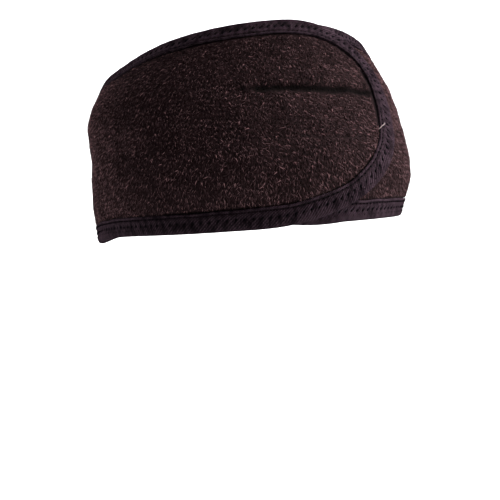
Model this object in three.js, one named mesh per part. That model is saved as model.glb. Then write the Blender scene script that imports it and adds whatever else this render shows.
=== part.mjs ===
// An adjustable towelling headband, closed into a loop as it is worn: one long strip of towelling with a stretch
// binding folded over its whole edge. Its round-ended tab laps over the other end above the forehead, and a patch
// of hook tape under the tab grips the towelling below it.
// Millimetres, +Z up. The wearer faces -Y and the wearer's left is +X. The origin is the middle of the head opening.
import * as THREE from 'three';

// The closed loop, measured to the middle of the under layer's thickness
const halfWidth = 77.2;
const frontReach = 94.9;
const backReach = 90;
const crownDip = 4.1; // how far the upper edge dips over the ears, and rises at the front and the back
const earSag = 4.2; // how far the lower edge sags behind the ears
const earAngle = 115; // degrees round from the middle of the front to where it sags the most
const earSpread = 26; // degrees to each side over which it sags

// The towelling strip
const clothWidth = 89.7;
const wornShare = 0.907; // the share of its width that is height when it is worn, the forehead's slope taking the rest
const clothThickness = 3;
const gripThickness = 1.8; // where the binding squeezes it
const underReach = 56; // from the middle of the front back to the tip of the hidden end
const tabReach = 32.3; // from the middle of the front on to the tip of the tab
const tipShare = 0.618; // how far up the strip's width both tips lie

// The ends' corners: how far back from the tip each one starts, and how square it is (2 is an ellipse)
const tabLowerCorner = 69.9;
const tabUpperCorner = 46.4;
const underCorner = 44;
const squareness = 2.19;

// The binding folded over the edge
const bindingWidth = 8.5;
const bindingWall = 0.8;
const shoulder = 1.6; // over which the towelling swells to its full thickness beside the binding

// The hook tape under the tab, and the crease that its upper seam pulls into the towelling
const tapeLength = 66;
const tapeWidth = 25;
const tapeThickness = 1.4;
const tapeFromTip = 11; // from the tab's tip to the tape's near end
const creaseDepth = 0.9;
const creaseHalfWidth = 2.4;
const creaseStartFade = 6; // over which the crease sinks in, far from the tip
const creaseEndFade = 3; // and near the tip
const lapRamp = 60; // over which the outer layer climbs off the head before it meets the hidden end
const lapDrop = 0.4; // how far the outer layer has slipped down over the under one

// Gaps and mesh steps
const clearance = 0.3;
const spineMargin = 1.5; // between the crease's shoulder and the swollen rim, at the spine's ends
const slopeStep = 0.5; // to each side of a place, where the worn surface's slope is taken
const stationStep = 8.4;
const capSteps = 5;
const profileSteps = 24;
const loopSteps = 720;
const innerRows = [0.2, 0.4, 0.6, 0.8]; // shares of the way from the swollen rim to the spine

// The loop at five even heights from the lower edge to the upper: its reach to the side, the front and the back,
// as shares of halfWidth, frontReach and backReach, and how much fuller it is than an ellipse at the temples and
// at the back.
const loops = [
  { side: 0.985, front: 0.935, back: 0.965, temples: 0.02, nape: 0.04 },
  { side: 1.006, front: 1.000, back: 0.995, temples: 0.08, nape: 0.05 },
  { side: 0.995, front: 0.931, back: 1.000, temples: 0.11, nape: 0.06 },
  { side: 0.985, front: 0.855, back: 0.980, temples: 0.05, nape: 0.07 },
  { side: 0.854, front: 0.774, back: 0.910, temples: 0.01, nape: 0.08 },
];

// What follows from these sizes
const wornHeight = wornShare * clothWidth;
const tipUp = tipShare * clothWidth;
const bindingThickness = gripThickness + 2 * (clearance + bindingWall);
// The hook tape touches the tab and lies a little clear of the towelling that it grips, where their facets differ
const lapLift = Math.max(clothThickness + tapeThickness + 3 * clearance, bindingThickness + 2 * clearance);
const spineInset = bindingWidth + shoulder + creaseHalfWidth + spineMargin;

const curveUp = (columns) => new THREE.CatmullRomCurve3(
  loops.map((loop) => new THREE.Vector3(...columns(loop))), false, 'catmullrom', 0.5,
);
const reachCurve = curveUp((loop) => [loop.side * halfWidth, loop.front * frontReach, loop.back * backReach]);
const fullnessCurve = curveUp((loop) => [loop.temples, loop.nape, 0]);

const clamp01 = (share) => Math.min(1, Math.max(0, share));
const smooth = (share) => clamp01(share) ** 2 * (3 - 2 * clamp01(share));

// A point of the loop, by its angle round from the middle of the front and its share of the height
function loopPoint(angle, share) {
  const reach = reachCurve.getPoint(clamp01(share));
  const full = fullnessCurve.getPoint(clamp01(share));
  const forward = Math.cos(angle);
  const fuller = forward > 0 ? full.x * forward : full.x * forward * (1 + forward) + full.y * forward ** 2;
  const pastEar = (THREE.MathUtils.radToDeg(Math.acos(forward)) - earAngle) / earSpread;
  const sag = earSag * Math.exp(-(pastEar ** 2)) * (1 - share) ** 2;
  const height = share * (wornHeight + crownDip * Math.cos(2 * angle)) - wornHeight / 2 - sag;
  const depth = forward > 0 ? reach.y : reach.z;
  return new THREE.Vector3(reach.x * (1 + fuller) * Math.sin(angle), -depth * forward, height);
}

// A point by its angle and its place up the cloth, measured along the cloth itself
function clothPoint(angle, up) {
  const profile = Array.from({ length: profileSteps + 1 }, (_, i) => loopPoint(angle, i / profileSteps));
  const climbed = [0];
  for (let i = 1; i <= profileSteps; i++) climbed.push(climbed[i - 1] + profile[i].distanceTo(profile[i - 1]));
  const wanted = (up / clothWidth) * climbed[profileSteps];
  let i = climbed.findIndex((length) => length > wanted);
  if (i < 0) i = profileSteps;
  if (i < 1) i = 1;
  const part = (wanted - climbed[i - 1]) / (climbed[i] - climbed[i - 1]);
  return new THREE.Vector3().lerpVectors(profile[i - 1], profile[i], part);
}

// The loop's length half way up, and the angle that lies at a given run along it from the middle of the front
const runs = [0];
for (let i = 1; i <= loopSteps; i++) {
  const [from, to] = [i - 1, i].map((step) => loopPoint((2 * Math.PI * step) / loopSteps, 0.5));
  runs.push(runs[i - 1] + from.distanceTo(to));
}
const loopLength = runs[loopSteps];

function angleAt(run) {
  const turns = Math.floor(run / loopLength);
  const rest = run - turns * loopLength;
  const i = Math.max(1, runs.findIndex((length) => length > rest));
  const part = (rest - runs[i - 1]) / (runs[i] - runs[i - 1]);
  return 2 * Math.PI * (turns + (i - 1 + part) / loopSteps);
}

// How far the strip has come to lie over the under layer, from 0 on the head to 1 where it meets its own hidden end
function lapped(run) {
  const reached = loopLength - underReach - bindingWall - 2 * clearance;
  return smooth((run - (reached - lapRamp)) / lapRamp);
}

// Where a place on the flat strip lies on the worn one: run along it, up across it, and out from its middle.
// The lift is level, so that both layers' edges stay at one height.
function worn(run, up, out) {
  const surface = (alongRun, alongUp) => clothPoint(angleAt(alongRun), alongUp);
  const along = surface(run + slopeStep, up).sub(surface(run - slopeStep, up));
  const across = surface(run, up + slopeStep).sub(surface(run, up - slopeStep));
  const outward = along.cross(across).normalize();
  const level = new THREE.Vector3(outward.x, outward.y, 0).normalize();
  const place = surface(run, up).addScaledVector(outward, out);
  place.z -= lapDrop * lapped(run);
  return place.addScaledVector(level, (lapLift * lapped(run)) / level.dot(outward));
}

// The flat strip's outline

const tabTip = loopLength + tabReach;
const underTip = -underReach;
const spineStart = underTip + spineInset;
const spineEnd = tabTip - spineInset;

const cornerDepth = (along, length, depth) =>
  depth * (1 - (1 - clamp01(along / length) ** squareness) ** (1 / squareness));

// How far the outline has left the long edge at this run, where the tips lie depth away from that edge
const leftEdge = (run, tabCorner, depth) =>
  cornerDepth(run - (tabTip - tabCorner), tabCorner, depth) +
  cornerDepth(underTip + underCorner - run, underCorner, depth);

// The last stretch of a corner, from above the spine's end to the tip: places short of the tip and off the long edge
function lastStretch(length, depth) {
  const first = Math.asin(((length - spineInset) / length) ** (squareness / 2));
  return Array.from({ length: capSteps }, (_, i) => {
    const turn = first + ((Math.PI / 2 - first) * (i + 1)) / capSteps;
    return {
      short: length * (1 - Math.sin(turn) ** (2 / squareness)),
      off: depth * (1 - Math.abs(Math.cos(turn)) ** (2 / squareness)),
    };
  });
}

// Stations all round the outline, each with its run, its place up the strip and the spine point that it faces
function outlineStations() {
  const stations = [];
  const upperDepth = clothWidth - tipUp;
  const steps = Math.round((spineEnd - spineStart) / stationStep);
  const runOf = (i) => spineStart + ((spineEnd - spineStart) * i) / steps;
  const cap = (tip, sign, lowerCorner, upperCorner, spine) => {
    const lower = lastStretch(lowerCorner, tipUp).map((p) => ({ run: tip - sign * p.short, up: p.off, spine }));
    const upper = lastStretch(upperCorner, upperDepth)
      .map((p) => ({ run: tip - sign * p.short, up: clothWidth - p.off, spine }));
    return [...lower, ...upper.slice(0, -1).reverse()];
  };
  for (let i = 0; i <= steps; i++) {
    stations.push({ run: runOf(i), up: leftEdge(runOf(i), tabLowerCorner, tipUp), spine: i });
  }
  stations.push(...cap(tabTip, 1, tabLowerCorner, tabUpperCorner, steps));
  for (let i = steps; i >= 0; i--) {
    stations.push({ run: runOf(i), up: clothWidth - leftEdge(runOf(i), tabUpperCorner, upperDepth), spine: i });
  }
  stations.push(...cap(underTip, -1, underCorner, underCorner, 0).reverse());
  // Each station's direction into the strip, square to the outline
  return stations.map((station, i) => {
    const before = stations.at(i - 1);
    const after = stations[(i + 1) % stations.length];
    const run = after.run - before.run;
    const up = after.up - before.up;
    const length = Math.hypot(run, up);
    return { ...station, inRun: -up / length, inUp: run / length, spineRun: runOf(station.spine) };
  });
}

const stations = outlineStations();
const insetPoint = (station, inset) => ({
  run: station.run + inset * station.inRun,
  up: station.up + inset * station.inUp,
});

// A mesh from a list of points and a list of triangles of their indices
function meshOf(name, points, triangles, material) {
  const geometry = new THREE.BufferGeometry();
  geometry.setAttribute('position', new THREE.Float32BufferAttribute(points.flatMap((p) => [p.x, p.y, p.z]), 3));
  geometry.setIndex(triangles.flat());
  geometry.computeVertexNormals();
  const mesh = new THREE.Mesh(geometry, material);
  mesh.name = name;
  return mesh;
}

const quad = (a, b, c, d) => [[a, b, c], [a, c, d]];

// The towelling strip: rows from the outline in to the spine, on the outer face and on the inner one
function terryBand() {
  const points = [];
  const triangles = [];
  const crease = (run) => {
    const end = tabTip - tapeFromTip;
    return creaseDepth * smooth((run - (end - tapeLength)) / creaseStartFade) * smooth((end - run) / creaseEndFade);
  };
  const rowsOf = (station) => {
    const swollen = insetPoint(station, bindingWidth + shoulder);
    const toSpine = { run: station.spineRun - swollen.run, up: tipUp - swollen.up };
    const left = Math.hypot(toSpine.run, toSpine.up);
    const inside = (share) => ({ run: swollen.run + share * toSpine.run, up: swollen.up + share * toSpine.up });
    return [
      { ...insetPoint(station, 0), half: gripThickness / 2 },
      { ...insetPoint(station, bindingWidth + clearance), half: gripThickness / 2 },
      { ...swollen, half: clothThickness / 2 },
      ...innerRows.map((share) => ({ ...inside(share), half: clothThickness / 2 })),
      { ...inside(1 - creaseHalfWidth / left), half: clothThickness / 2 },
    ];
  };
  const grid = stations.map(rowsOf);
  const rowCount = grid[0].length;
  const spineCount = Math.max(...stations.map((station) => station.spine)) + 1;
  const faceSize = stations.length * rowCount + spineCount;
  const at = (face, i, row) => face * faceSize + (i % stations.length) * rowCount + row;
  const spineAt = (face, i) => face * faceSize + stations.length * rowCount + stations[i % stations.length].spine;
  for (const face of [0, 1]) {
    const side = face === 0 ? 1 : -1;
    for (const row of grid.flat()) points.push(worn(row.run, row.up, side * row.half));
    for (let i = 0; i < spineCount; i++) {
      const run = spineStart + ((spineEnd - spineStart) * i) / (spineCount - 1);
      points.push(worn(run, tipUp, face === 0 ? clothThickness / 2 - crease(run) : -clothThickness / 2));
    }
  }
  const add = (face, a, b, c, d) => triangles.push(...(face === 0 ? quad(a, b, c, d) : quad(d, c, b, a)));
  stations.forEach((station, i) => {
    for (const face of [0, 1]) {
      for (let row = 0; row + 1 < rowCount; row++) {
        add(face, at(face, i, row), at(face, i + 1, row), at(face, i + 1, row + 1), at(face, i, row + 1));
      }
      const [a, b, c, d] = [at(face, i, rowCount - 1), at(face, i + 1, rowCount - 1), spineAt(face, i + 1),
        spineAt(face, i)];
      if (c !== d) add(face, a, b, c, d);
      else triangles.push(face === 0 ? [a, b, c] : [c, b, a]);
    }
    triangles.push(...quad(at(1, i, 0), at(1, i + 1, 0), at(0, i + 1, 0), at(0, i, 0)));
  });
  return meshOf('terry_band', points, triangles,
    new THREE.MeshStandardMaterial({ color: 0x2a1f1e, roughness: 0.97, metalness: 0 }));
}

// The binding: a U-shaped section, folded over the edge and carried all round the outline
function edgeBinding() {
  const channel = gripThickness / 2 + clearance;
  const outer = channel + bindingWall;
  const rim = clearance + bindingWall;
  // The section's outside from lip to lip: how far in from the edge, and how far out from the cloth's middle
  const outside = [
    { inset: bindingWidth, out: channel + 0.6 * bindingWall },
    { inset: 0.75 * bindingWidth, out: outer },
    { inset: 0.2 * bindingWidth, out: outer },
    { inset: -0.55 * rim, out: 0.75 * outer },
    { inset: -rim, out: 0 },
  ];
  const mirrored = (half) => half.map((p) => ({ ...p, out: -p.out })).reverse();
  const inside = [{ inset: bindingWidth, out: -channel }, { inset: -clearance, out: -channel }];
  const section = [...outside, ...mirrored(outside.slice(0, -1)), ...inside, ...mirrored(inside)];
  const points = stations.flatMap((station) => section.map((p) => {
    const place = insetPoint(station, p.inset);
    return worn(place.run, place.up, p.out);
  }));
  const at = (i, j) => (i % stations.length) * section.length + (j % section.length);
  const triangles = stations.flatMap((_, i) => section.flatMap((__, j) =>
    quad(at(i, j), at(i, j + 1), at(i + 1, j + 1), at(i + 1, j))));
  return meshOf('edge_binding', points, triangles,
    new THREE.MeshStandardMaterial({ color: 0x19151a, roughness: 0.8, metalness: 0 }));
}

// The hook tape: a plain flat patch between the two layers, with its upper seam on the crease, and its near end
// cut to follow the tab's lower corner
function hookTape() {
  const start = tabTip - tapeFromTip - tapeLength;
  const endAt = (up) => {
    const drop = (tipUp - up) / (tipUp - tapeFromTip);
    return tabTip - tabLowerCorner + (tabLowerCorner - tapeFromTip) * (1 - drop ** squareness) ** (1 / squareness);
  };
  const columns = 10;
  const rows = 4;
  const middle = -(clothThickness / 2 + clearance + tapeThickness / 2);
  const points = [];
  for (const side of [1, -1]) {
    for (let i = 0; i <= columns; i++) {
      for (let j = 0; j <= rows; j++) {
        const up = tipUp - tapeWidth + (tapeWidth * j) / rows;
        const run = start + ((endAt(up) - start) * i) / columns;
        points.push(worn(run, up, middle + (side * tapeThickness) / 2));
      }
    }
  }
  const faceSize = points.length / 2;
  const at = (face, i, j) => face * faceSize + i * (rows + 1) + j;
  const triangles = [];
  for (let i = 0; i < columns; i++) {
    for (let j = 0; j < rows; j++) {
      triangles.push(...quad(at(0, i, j), at(0, i + 1, j), at(0, i + 1, j + 1), at(0, i, j + 1)));
      triangles.push(...quad(at(1, i, j + 1), at(1, i + 1, j + 1), at(1, i + 1, j), at(1, i, j)));
    }
    triangles.push(...quad(at(1, i, 0), at(1, i + 1, 0), at(0, i + 1, 0), at(0, i, 0)));
    triangles.push(...quad(at(0, i, rows), at(0, i + 1, rows), at(1, i + 1, rows), at(1, i, rows)));
  }
  for (let j = 0; j < rows; j++) {
    triangles.push(...quad(at(0, 0, j), at(0, 0, j + 1), at(1, 0, j + 1), at(1, 0, j)));
    triangles.push(...quad(at(1, columns, j), at(1, columns, j + 1), at(0, columns, j + 1), at(0, columns, j)));
  }
  return meshOf('hook_tape', points, triangles,
    new THREE.MeshStandardMaterial({ color: 0x141314, roughness: 0.6, metalness: 0 }));
}

const headband = new THREE.Group();
headband.add(terryBand(), edgeBinding(), hookTape());

export default headband;
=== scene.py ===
"""Dresses the towelling headband: its looped cloth and pile, its folded binding, its stitching and its tape.

Every soft piece is modelled flat, as it is cut and sewn, and is then carried to where it lies when worn.
A place on the flat strip is its run along the strip from the middle of the forehead, its place up the strip
from the lower edge, and how far out it lies from the middle of the cloth. All lengths are in metres.
"""
import math

import bmesh
import bpy
import numpy as np
from bpy.props import FloatProperty, FloatVectorProperty, IntProperty, PointerProperty
from mathutils import Matrix, Vector


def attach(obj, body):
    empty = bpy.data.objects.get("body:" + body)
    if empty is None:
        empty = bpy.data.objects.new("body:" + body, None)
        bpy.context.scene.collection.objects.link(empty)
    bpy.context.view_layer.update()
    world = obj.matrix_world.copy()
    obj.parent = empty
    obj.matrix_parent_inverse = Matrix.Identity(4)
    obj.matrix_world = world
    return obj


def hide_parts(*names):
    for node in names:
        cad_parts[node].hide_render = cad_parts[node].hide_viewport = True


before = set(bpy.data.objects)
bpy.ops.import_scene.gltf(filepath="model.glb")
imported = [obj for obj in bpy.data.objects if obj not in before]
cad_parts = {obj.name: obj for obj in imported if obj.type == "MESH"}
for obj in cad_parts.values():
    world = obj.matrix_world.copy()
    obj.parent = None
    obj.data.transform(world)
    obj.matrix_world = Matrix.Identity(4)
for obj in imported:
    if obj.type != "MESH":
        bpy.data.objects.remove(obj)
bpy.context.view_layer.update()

bl_info = {
    "name": "Towelling Headband",
    "version": (1, 0, 0),
    "blender": (4, 5, 0),
    "location": "3D View > Sidebar > Headband",
    "description": "Towelling, pile, binding and stitching for an adjustable headband",
    "category": "Add Mesh",
}

BODY = "root"

# The worn loop at five even heights from the lower edge to the upper: its reach to the side, to the front and
# to the back, as shares of the fit's half width and reaches, and how much fuller than an ellipse it is at the
# temples and at the nape
LOOPS = [
    (0.985, 0.935, 0.965, 0.02, 0.04),
    (1.006, 1.000, 0.995, 0.08, 0.05),
    (0.995, 0.931, 1.000, 0.11, 0.06),
    (0.985, 0.855, 0.980, 0.05, 0.07),
    (0.854, 0.774, 0.910, 0.01, 0.08),
]

# The binding's outside from its lip to its fold, as shares of its width in from the edge and of its half
# thickness out. A rolled lip stands up, and the sewing presses the middle in.
BINDING_OUTSIDE = [
    (1.000, 0.60), (1.030, 0.84), (1.005, 1.05), (0.960, 1.09), (0.905, 0.94), (0.860, 0.82), (0.790, 0.95),
    (0.720, 0.98), (0.620, 0.97), (0.500, 0.89), (0.390, 0.93), (0.270, 1.00), (0.140, 1.00), (0.030, 0.93),
    (-0.050, 0.76), (-0.105, 0.42),
]
BINDING_FOLD = (-0.125, 0.0)
BINDING_CHANNEL = [(0.90, 0.60), (-0.02, 0.60)]

# The rows of stitches along the binding: how far in from its fold as a share of its width, how many there are
# for each slanting one, how far each row is shifted along, and each stitch's length and slant to the edge
BINDING_STITCHES = [
    {"inset": 0.52, "number": 1.0, "shift": 0.0, "length": 0.0026, "slant": 62},
    {"inset": 0.26, "number": 1.0, "shift": 0.45, "length": 0.0015, "slant": 25},
    {"inset": 0.86, "number": 1.5, "shift": 0.2, "length": 0.0012, "slant": 4},
]

# Soft round lights: degrees to the right of the camera and up, metres away and across, watts, and how far
# behind the band each one is aimed
STUDIO_LIGHTS = [
    {"name": "right_side", "right": 88, "up": 15, "distance": 1.6, "size": 0.9, "power": 272, "behind": 0.0},
    {"name": "left_side", "right": -126, "up": 12, "distance": 1.6, "size": 0.9, "power": 172, "behind": 0.0},
    {"name": "upper_right", "right": 52, "up": 67, "distance": 1.6, "size": 0.9, "power": 108, "behind": 0.0},
    {"name": "back_wall", "right": 180, "up": 50, "distance": 1.9, "size": 2.4, "power": 320, "behind": 3.8},
]


def number(name, default, description, **kind):
    return FloatProperty(name=name, description=description, default=default, **kind)


def length(name, default, description):
    return number(name, default, description, unit="LENGTH", precision=5)


def share(name, default, description):
    return number(name, default, description, subtype="FACTOR", precision=3)


def turn(name, default, description):
    return number(name, math.radians(default), description, subtype="ANGLE")


def colour(name, default, description):
    return FloatVectorProperty(
        name=name, description=description, default=default, subtype="COLOR", size=3, min=0, max=1
    )


class BandCut(bpy.types.PropertyGroup):
    """The strip's cut and its sewn parts, as they lie flat."""

    width: length("Cloth Width", 0.0897, "Width of the towelling strip, inside the binding's fold")
    thickness: length("Cloth Thickness", 0.003, "Thickness of the towelling away from the binding")
    grip: length("Gripped Thickness", 0.0018, "Thickness of the towelling where the binding squeezes it")
    under_reach: length("Under Reach", 0.056, "From the middle of the forehead back to the hidden end's tip")
    tab_reach: length("Tab Reach", 0.0323, "From the middle of the forehead on to the tab's tip")
    tip_share: share("Tip Height", 0.618, "How far up the strip's width both tips lie")
    tab_lower: length("Tab Lower Corner", 0.0699, "How far back from the tip the tab's lower corner starts")
    tab_upper: length("Tab Upper Corner", 0.0464, "How far back from the tip the tab's upper corner starts")
    under_corner: length("Hidden Corner", 0.044, "How far back from the tip the hidden end's corners start")
    squareness: number("Squareness", 2.19, "2 makes each corner an ellipse")
    binding_width: length("Binding Width", 0.0085, "Width of the folded binding on each face")
    crown_roll: share("Crown Roll", 0.27, "How much narrower the binding shows along the crown")
    binding_half: length("Binding Half Thickness", 0.002, "From the cloth's middle out to the binding's face")
    shoulder: length("Shoulder", 0.0016, "Over which the towelling swells beside the binding")
    tape_length: length("Tape Length", 0.066, "Length of the hook tape under the tab")
    tape_width: length("Tape Width", 0.025, "Width of the hook tape under the tab")
    tape_from_tip: length("Tape From Tip", 0.011, "From the tab's tip to the tape's near end")
    crease_depth: length("Crease Depth", 0.0015, "How deep the tape's upper seam pulls the towelling in")
    crease_width: length("Crease Half Width", 0.0029, "Half the width of that crease")
    seam_depth: length("Lower Seam Depth", 0.0005, "How deep the tape's lower seam pulls the towelling in")


class BandFit(bpy.types.PropertyGroup):
    """How the band lies when it is worn."""

    half_width: length("Half Width", 0.0772, "The loop's reach to the side")
    front_reach: length("Front Reach", 0.0949, "The loop's reach to the front")
    back_reach: length("Back Reach", 0.090, "The loop's reach to the back")
    crown_dip: length("Crown Dip", 0.0041, "How far the upper edge dips over the ears")
    ear_sag: length("Ear Sag", 0.0042, "How far the lower edge sags behind the ears")
    ear_angle: turn("Ear Angle", 115, "From the middle of the front round to where it sags the most")
    ear_spread: turn("Ear Spread", 26, "To each side over which it sags")
    worn_share: share("Worn Height", 0.907, "The share of the cloth's width that is height when it is worn")
    lap_lift: length("Lap Lift", 0.0053, "How far the outer layer lies off the layer under it")
    lap_ramp: length("Lap Ramp", 0.060, "Over which the outer layer climbs off the head")
    lap_drop: length("Lap Drop", 0.0004, "How far the outer layer has slipped down")
    lap_margin: length("Lap Margin", 0.0014, "From the hidden tip to where the lap is fully off the head")


class BandPile(bpy.types.PropertyGroup):
    """The towelling's lumps and its short pile."""

    lump_height: length("Lump Height", 0.00022, "Height of the cloth's soft lumps")
    lump_size: length("Lump Size", 0.011, "Distance from one soft lump to the next")
    tuft: length("Tuft Size", 0.0011, "Distance from one combed tuft of the pile to the next")
    pitch: length("Pile Pitch", 0.00056, "Distance from one short end to the next on the outer face")
    curl_pitch: length("Curl Pitch", 0.0024, "Distance from one long curl to the next on the outer face")
    inner_pitch: length("Inner Pile Pitch", 0.00105, "The same on the inner face, which is worn flat")
    reach: length("Pile Reach", 0.0017, "How far a short end leans along the cloth")
    curl_reach: length("Curl Reach", 0.0019, "How far a long curl leans along the cloth")
    width: length("Strand Width", 0.00038, "Width of a strand at its root")
    rise: length("Pile Rise", 0.00062, "How far a strand's tip stands off the cloth")
    drift: turn("Pile Drift", 12, "How far the pile's direction wanders from straight down")
    scatter: turn("Pile Scatter", 27, "How far each strand turns from its neighbours")
    seed: IntProperty(name="Seed", description="Start of the random placing", default=7)


class BandSewing(bpy.types.PropertyGroup):
    """The stitches in the binding and round the tape, and the one loose thread."""

    pitch: length("Binding Stitch Pitch", 0.0034, "From one slanting binding stitch to the next")
    thread: length("Thread Thickness", 0.00078, "Thickness of the sewing thread")
    seam_pitch: length("Tape Stitch Pitch", 0.0027, "From one tape stitch to the next")
    seam_reach: length("Tape Stitch Length", 0.002, "Length of a tape stitch")


class BandColours(bpy.types.PropertyGroup):
    """The colours of the band's finishes."""

    towelling: colour("Towelling", (0.0060, 0.0038, 0.0042), "The towelling's ground")
    # Painted shade: the dark between the loops, at the roots of the pile and in the creases
    towelling_deep: colour("Towelling Shade", (0.0008, 0.0006, 0.0006), "Deep in the pile and in its creases")
    pile_tip: colour("Pile Tip", (0.096, 0.051, 0.054), "The pile's tips where they catch the light")
    binding: colour("Binding", (0.0186, 0.0117, 0.0151), "The knitted binding")
    # The dark end of the binding's knit pattern and of its painted shade
    binding_deep: colour("Binding Shade", (0.0010, 0.0007, 0.0009), "Between the binding's ribs")
    thread: colour("Thread", (0.0012, 0.0010, 0.0013), "The sewing thread")
    loose_thread: colour("Loose Thread", (0.12, 0.095, 0.095), "The loose thread end at the tab's tip")
    tape: colour("Hook Tape", (0.010, 0.010, 0.010), "The hook tape")
    floor: colour("Floor", (0.50, 0.50, 0.50), "The studio floor and its back wall")


class BandStage(bpy.types.PropertyGroup):
    """The camera, the floor and the lights."""

    azimuth: turn("Camera Azimuth", -25.65, "The camera's turn round the band, from straight in front")
    elevation: turn("Camera Elevation", 3.21, "How far the camera looks down")
    roll: turn("Camera Roll", -4.15, "The camera's tilt to the side")
    distance: length("Camera Distance", 0.353, "From the camera to the point level with the band's middle")
    aim_right: length("Aim Right", 0.00295, "From the band's axis to the picture's middle, to the right")
    aim_down: length("Aim Down", 0.0122, "From the reference height down to the picture's middle")
    reference: length("Reference Height", -0.0428, "The height that the aim is measured from")
    ambient: number("Ambient Light", 0.04, "How bright the white surroundings are")
    focal: number("Focal Length", 46.44, "In millimetres, on a 36 mm sensor")
    floor_height: length("Floor Height", -0.16, "The floor's height, measured from the band's middle")


GROUPS = {
    "headband_cut": BandCut,
    "headband_fit": BandFit,
    "headband_pile": BandPile,
    "headband_sewing": BandSewing,
    "headband_colours": BandColours,
    "headband_stage": BandStage,
}


def ease(part):
    """0 up to 0, 1 from 1 on, and a smooth rise between."""
    part = np.clip(part, 0, 1)
    return part * part * (3 - 2 * part)


def through(rows, height_share):
    """The smooth curve through even rows, at each share of the way up them."""
    last = len(rows) - 1
    place = np.clip(height_share, 0, 1) * last
    i = np.minimum(place.astype(int), last - 1)
    t = (place - i)[..., None]
    ends = np.vstack([2 * rows[0] - rows[1], rows, 2 * rows[-1] - rows[-2]])
    before, start, end, after = ends[i], ends[i + 1], ends[i + 2], ends[i + 3]
    leaving, arriving = (end - before) / 2, (after - start) / 2
    cubic = 2 * start - 2 * end + leaving + arriving
    square = -3 * start + 3 * end - 2 * leaving - arriving
    return ((cubic * t + square) * t + leaving) * t + start


def ripples(x, y, wavelength, seed, waves=16):
    """Soft random unevenness of about that wavelength, around 0 and mostly between -1 and 1."""
    random = np.random.default_rng(seed)
    total = np.zeros(np.shape(x))
    for heading, pace, phase in random.uniform(0, 1, (waves, 3)):
        across = np.cos(2 * np.pi * heading) * x + np.sin(2 * np.pi * heading) * y
        total += np.cos(2 * np.pi * ((0.65 + 0.7 * pace) * across / wavelength + phase))
    return total / math.sqrt(waves)


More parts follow.
